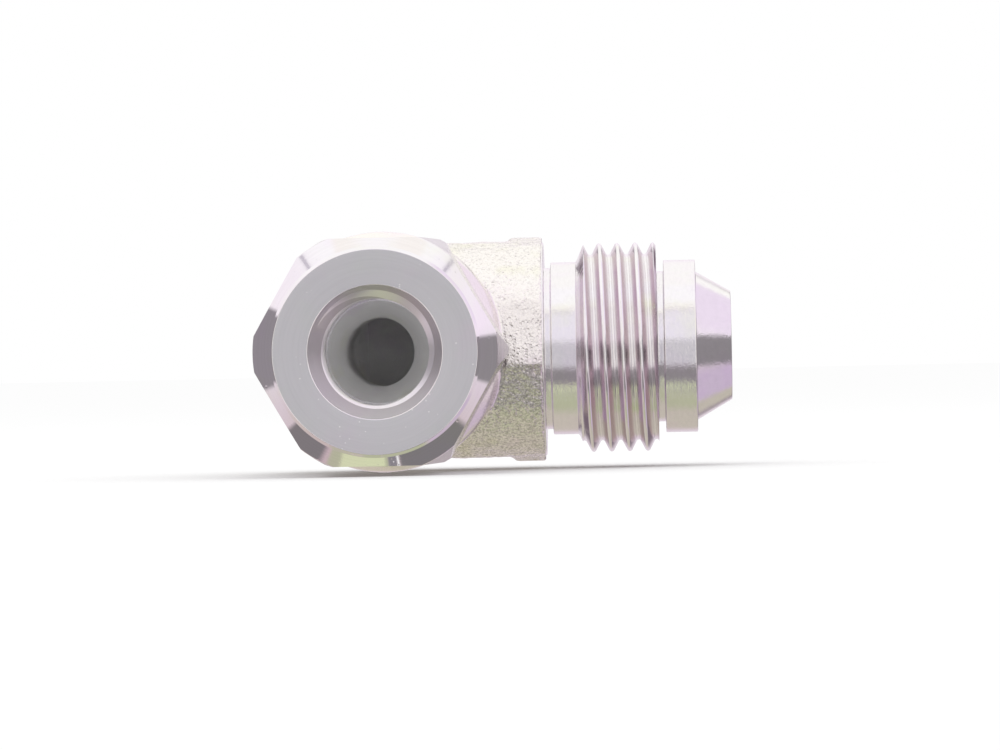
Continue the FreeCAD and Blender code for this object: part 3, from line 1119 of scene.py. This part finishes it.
@dataclass
class Studio:
    """White floor and surround, a soft lamp, and the tent and card that the metal mirrors."""

    floor_height: float = -12.0
    floor_reach: float = 4000.0
    tent_radius: float = 900.0
    tent_facets: tuple[int, int] = (48, 24)
    floor_white: Colour = (0.98, 0.98, 0.98)
    key_power: float = 0.35
    key_size: float = 0.5
    key_place: tuple[float, float, float] = (-0.05, -0.08, 0.65)
    white: float = 1.0
    tent_glow: float = 1.05
    cloth_span: Pair = (-50.0, 50.0)
    flag_distance: float = 60.0
    flag_depth: Pair = (-2.0, 26.0)
    flag_height: Pair = (-16.0, 8.0)
    flag_grey: Colour = (0.27, 0.25, 0.265)

    @staticmethod
    def piece(mesh: Solid, name: str, material: Material) -> Thing:
        """Put a stage piece in the scene.

        Args:
            mesh: Its mesh, which is used up.
            name: Its name.
            material: Its material.

        Returns:
            The stage piece.
        """
        data = bpy.data.meshes.new(name)
        mesh.to_mesh(data)
        mesh.free()
        data.materials.append(material)
        thing = bpy.data.objects.new(name, data)
        bpy.context.scene.collection.objects.link(thing)
        return thing

    @staticmethod
    def only_mirrored(thing: Thing) -> None:
        """Let a stage piece show in the metal alone.

        Args:
            thing: The stage piece.
        """
        thing.visible_camera = False
        thing.visible_diffuse = False
        thing.visible_shadow = False
        thing.visible_transmission = False
        thing.visible_volume_scatter = False

    def flag(self) -> None:
        """Stand a grey card beside the male end, which only its cone mirrors."""
        mesh = bmesh.new()
        bmesh.ops.create_grid(mesh, x_segments=1, y_segments=1, size=0.5)
        bmesh.ops.rotate(mesh, verts=mesh.verts[:], matrix=Matrix.Rotation(math.pi / 2, 3, "Y"))
        near, far = self.flag_depth
        low, high = self.flag_height
        bmesh.ops.scale(mesh, verts=mesh.verts[:], vec=(1, (far - near) * MM, (high - low) * MM))
        bmesh.ops.translate(mesh, verts=mesh.verts[:], vec=Vector(
            (self.flag_distance, (near + far) / 2, (low + high) / 2)) * MM)
        nodes = new_tree(bpy.data.materials.new("flag_grey"))
        grey = nodes.shade("ShaderNodeEmission", Color=self.flag_grey)
        self.only_mirrored(self.piece(mesh, "flag", grey))

    def floor(self) -> None:
        """Lay the pale floor that keeps the part's shadow."""
        mesh = bmesh.new()
        bmesh.ops.create_grid(mesh, x_segments=1, y_segments=1, size=self.floor_reach * MM)
        bmesh.ops.translate(mesh, verts=mesh.verts[:], vec=(0, 0, self.floor_height * MM))
        nodes = new_tree(bpy.data.materials.new("floor_white"))
        white = nodes.shade("ShaderNodeBsdfDiffuse", Color=self.floor_white)
        self.piece(mesh, "floor", white).visible_glossy = False

    def tent(self) -> None:
        """Raise the tent: white cloth with grey and tinted openings, seen only as a reflection."""
        mesh = bmesh.new()
        around, up = self.tent_facets
        bmesh.ops.create_uvsphere(mesh, u_segments=around, v_segments=up, radius=self.tent_radius * MM)
        bmesh.ops.reverse_faces(mesh, faces=mesh.faces[:])
        self.only_mirrored(self.piece(mesh, "tent", self.tent_cloth()))

    def tent_cloth(self) -> Material:
        """Paint the tent's openings by their azimuth and height, in degrees from the camera side.

        Returns:
            The material.
        """
        nodes = new_tree(bpy.data.materials.new("tent_cloth"))
        place = nodes.add("ShaderNodeTexCoord").outputs["Object"]
        unit = nodes.result("ShaderNodeVectorMath", 0, {0: place}, operation="NORMALIZE")
        right, ahead, up = nodes.split(unit)
        height = nodes.math("DEGREES", nodes.math("ARCSINE", up))
        toward = nodes.math("MULTIPLY", ahead, -1.0)
        azimuth = nodes.math("DEGREES", nodes.math("ARCTAN2", right, toward))
        low, high = self.cloth_span
        colour = nodes.ramp(nodes.span(height, low, high, 0.0, 1.0), CLOTH_COLOURS)
        for window in TENT_WINDOWS:
            mask = window.mask(nodes, azimuth, height)
            colour = nodes.mix("MIX", mask, colour, window.colour)
        return nodes.shade("ShaderNodeEmission", Color=colour, Strength=self.tent_glow)

    def world(self) -> None:
        """Light the scene evenly and show white behind it."""
        world = bpy.data.worlds.new("surround")
        bpy.context.scene.world = world
        new_tree(world).shade("ShaderNodeBackground", Color=PLAIN, Strength=self.white)

    def lamps(self) -> None:
        """Hang one broad soft lamp above and before the part."""
        data = bpy.data.lights.new("key", "AREA")
        data.shape = "DISK"
        data.size = self.key_size
        data.energy = self.key_power
        lamp = bpy.data.objects.new("key", data)
        lamp.location = self.key_place
        lamp.rotation_euler = (Vector((0, 0, 0)) - lamp.location).to_track_quat("-Z", "Y").to_euler()
        lamp.visible_glossy = False
        bpy.context.scene.collection.objects.link(lamp)

    def build(self) -> None:
        """Set up the whole studio."""
        self.world()
        self.floor()
        self.tent()
        self.flag()
        self.lamps()


@dataclass(frozen=True)
class TentWindow:
    """One opening in the tent, in degrees of azimuth and height, with what shows there."""

    left: float
    right: float
    bottom: float
    top: float
    colour: Colour
    soft: float = 2.0

    def mask(self, nodes: NodeTree, azimuth: Socket,
             height: Socket) -> Socket:
        """Return how much of this opening shows.

        Args:
            nodes: The tent's node tree.
            azimuth: The azimuth output.
            height: The height output.

        Returns:
            A value from 0 to 1.
        """
        half = self.soft / 2
        edges = [nodes.span(azimuth, self.left - half, self.left + half, 0.0, 1.0),
                 nodes.span(azimuth, self.right - half, self.right + half, 1.0, 0.0),
                 nodes.span(height, self.bottom - half, self.bottom + half, 0.0, 1.0),
                 nodes.span(height, self.top - half, self.top + half, 1.0, 0.0)]
        product = edges[0]
        for edge in edges[1:]:
            product = nodes.math("MULTIPLY", product, edge)
        return product


CLOTH_COLOURS = [
    (0.0, (0.58, 0.46, 0.48)), (0.25, (0.69, 0.60, 0.65)), (0.5, (0.80, 0.74, 0.80)),
    (0.62, (0.94, 0.87, 0.93)), (0.88, (0.94, 0.88, 0.94)), (1.0, (1.0, 0.98, 1.0)),
]

TENT_WINDOWS = [
    TentWindow(-181, 181, 62, 91, (1.0, 0.985, 1.0), 12.0),
    TentWindow(-181, -95, 25, 91, (1.0, 0.985, 0.965), 12.0),
    TentWindow(95, 181, 25, 91, (1.0, 0.985, 0.965), 12.0),
    TentWindow(-181, -95, -91, -32, (0.58, 0.53, 0.46), 12.0),
    TentWindow(140, 181, -91, -32, (0.58, 0.53, 0.46), 12.0),
    TentWindow(-162, -104, -32, 25, (0.20, 0.17, 0.19), 10.0),
    TentWindow(104, 162, -32, 25, (0.24, 0.20, 0.23), 10.0),
    TentWindow(-36, 36, -25, 60, (0.97, 0.935, 0.90), 3.0),
    TentWindow(-10, 10, 9, 50, (0.82, 0.78, 0.87), 3.0),
    TentWindow(-10, 10, -27, 9, (0.54, 0.52, 0.565), 4.0),
    TentWindow(-36, 36, -51, -27, (0.265, 0.245, 0.255), 3.0),
    TentWindow(-181, 181, -91, -80, (0.46, 0.475, 0.335), 3.0),
    TentWindow(-95, 95, -91, -62, (0.46, 0.475, 0.335), 4.0),
    TentWindow(-41, 6, -63, -51, (0.46, 0.475, 0.335), 2.0),
    TentWindow(-34, 3, -63, -51, (0.65, 0.69, 0.45), 2.0),
    TentWindow(6, 14, -66, -49, (0.25, 0.235, 0.26), 1.5),
    TentWindow(62, 140, 15, 58, (0.86, 0.76, 0.89), 8.0),
    TentWindow(62, 140, -62, -27, (0.57, 0.47, 0.60), 8.0),
    TentWindow(124, 181, -91, -34, (0.53, 0.49, 0.42), 8.0),
    TentWindow(-105, -37, -15, 20.5, (0.275, 0.25, 0.275), 2.0),
    TentWindow(37, 105, -14.6, 6.5, (0.27, 0.25, 0.265), 2.0),
    TentWindow(-59, -41, -50, -34, (0.215, 0.195, 0.205), 2.0),
    TentWindow(16, 54, -62, -35, (0.205, 0.192, 0.2), 3.0),
    TentWindow(14, 15.6, -75, -45, (0.95, 0.95, 0.95), 0.5),
    TentWindow(-50.8, -49.8, 30, 60, (0.42, 0.38, 0.46), 0.4),
    TentWindow(47.2, 48.2, 30, 60, (0.42, 0.38, 0.46), 0.4),
    TentWindow(-12, 12, 49.5, 52.0, (0.50, 0.45, 0.54), 1.2),
]


@dataclass
class PhotoCamera:
    """The long lens that looks into the nut, a little from the male end's side."""

    focal_pixels: float = 7287.0
    frame_width: float = 1000.0
    frame_height: float = 750.0
    sensor_width: float = 36.0
    distance: float = 700.0
    vanishing_point: Pair = (658.7, 352.0)
    mouth_centre: Pair = (374.5, 352.0)
    roll_degrees: float = 1.2
    clip: Pair = (0.01, 20.0)

    def build(self) -> None:
        """Place the camera so that the nut's axis runs to its vanishing point."""
        roll = math.radians(self.roll_degrees)
        right = Vector((math.cos(roll), 0, -math.sin(roll)))
        up = Vector((math.sin(roll), 0, math.cos(roll)))
        ahead = Vector((0, 1, 0))
        aside = (self.vanishing_point[0] - self.frame_width / 2) / self.focal_pixels
        above = (self.frame_height / 2 - self.vanishing_point[1]) / self.focal_pixels
        scale = self.distance / self.focal_pixels
        offset_right = (self.vanishing_point[0] - self.mouth_centre[0]) * scale
        offset_up = (self.mouth_centre[1] - self.vanishing_point[1]) * scale
        place = right * offset_right + up * offset_up - ahead * self.distance
        forward = (ahead - right * aside - up * above).normalized()
        side = forward.cross(up).normalized()
        top = side.cross(forward).normalized()
        data = bpy.data.cameras.new("photo_camera")
        data.sensor_width = self.sensor_width
        data.lens = self.focal_pixels * self.sensor_width / self.frame_width
        data.clip_start, data.clip_end = self.clip
        camera = bpy.data.objects.new("photo_camera", data)
        turn = Matrix((side, top, -forward)).transposed().to_4x4()
        camera.matrix_world = Matrix.Translation(place * MM) @ turn
        bpy.context.scene.collection.objects.link(camera)
        bpy.context.scene.camera = camera


def make_skins() -> None:
    """Make the steel's skins in the order of the mesh slots."""
    finishes = [
        ForgedSkin("plated_forged_skin"),
        TurnedSteel("plated_turned_end", Axis.MALE, roughness=0.07, rings_per_mm=3.8, ring_height=0.019,
                    ring_stretch=0.4, speckle=0.009),
        # The thread's groove colour is painted shade in its flanks.
        TurnedSteel("plated_thread", Axis.MALE, roughness=0.11, ring_height=0.003, speckle=0.003,
                    groove=(0.78, 0.71, 0.74)),
        # The nut face's darker grey base colour is painted shade, standing in for the dark camera side that
        # the face mirrors; its glints are painted highlights.
        TurnedSteel("plated_nut_face", Axis.NUT, colour=(0.66, 0.665, 0.685), blush=(0.67, 0.65, 0.69),
                    straw=(0.65, 0.67, 0.67), roughness=0.33, rings_per_mm=5.0, ring_height=0.004,
                    ring_stretch=0.02, glints=0.7),
        TurnedSteel("plated_nut_chamfer", Axis.NUT, roughness=0.035, roughness_swing=0.035,
                    ring_height=0.0006, ring_stretch=0.02),
        TurnedSteel("plated_nut_mouth", Axis.NUT, colour=(0.66, 0.64, 0.65), blush=(0.66, 0.62, 0.65),
                    straw=(0.66, 0.65, 0.62), roughness=0.42, ring_stretch=0.02),
        TurnedSteel("plated_tapped_thread", Axis.NUT, roughness=0.3),
        # The bore's near-white colour on an almost non-metal shader is painted brightness, standing in for
        # the bright reflection deep in the plated passage.
        TurnedSteel("plated_bore", Axis.NUT, colour=(0.97, 0.965, 0.965), roughness=0.45, metal=0.1),
        TurnedSteel("plated_nut_flat", Axis.MALE, roughness=0.14, ring_height=0.002, ring_stretch=0.3),
        TurnedSteel("plated_nut_corner", Axis.NUT, colour=(0.80, 0.78, 0.80), roughness=0.4,
                    ring_stretch=0.05),
    ]
    SKINS.extend(finish.material() for finish in finishes)


def dress_wire() -> None:
    """Give the retaining wire its drawn steel."""
    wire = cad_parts["retaining_wire"]
    steel = TurnedSteel("drawn_spring_wire", Axis.NUT, colour=(0.6, 0.6, 0.61), roughness=0.3).material()
    wire.data.materials.clear()
    wire.data.materials.append(steel)


def main() -> None:
    """Build the part, the studio and the camera, and report each piece."""
    logging.basicConfig(level=logging.INFO, format="%(name)s: %(message)s")
    bpy.context.scene.view_settings.view_transform = "Standard"
    PhotoCamera().build()
    make_skins()
    for piece in (ElbowBody().build(), SwivelNut().build()):
        piece.data.calc_loop_triangles()
        LOG.info("%s has %d triangles", piece.name, len(piece.data.loop_triangles))
    dress_wire()
    Studio().build()


if __name__ == "__main__":
    main()
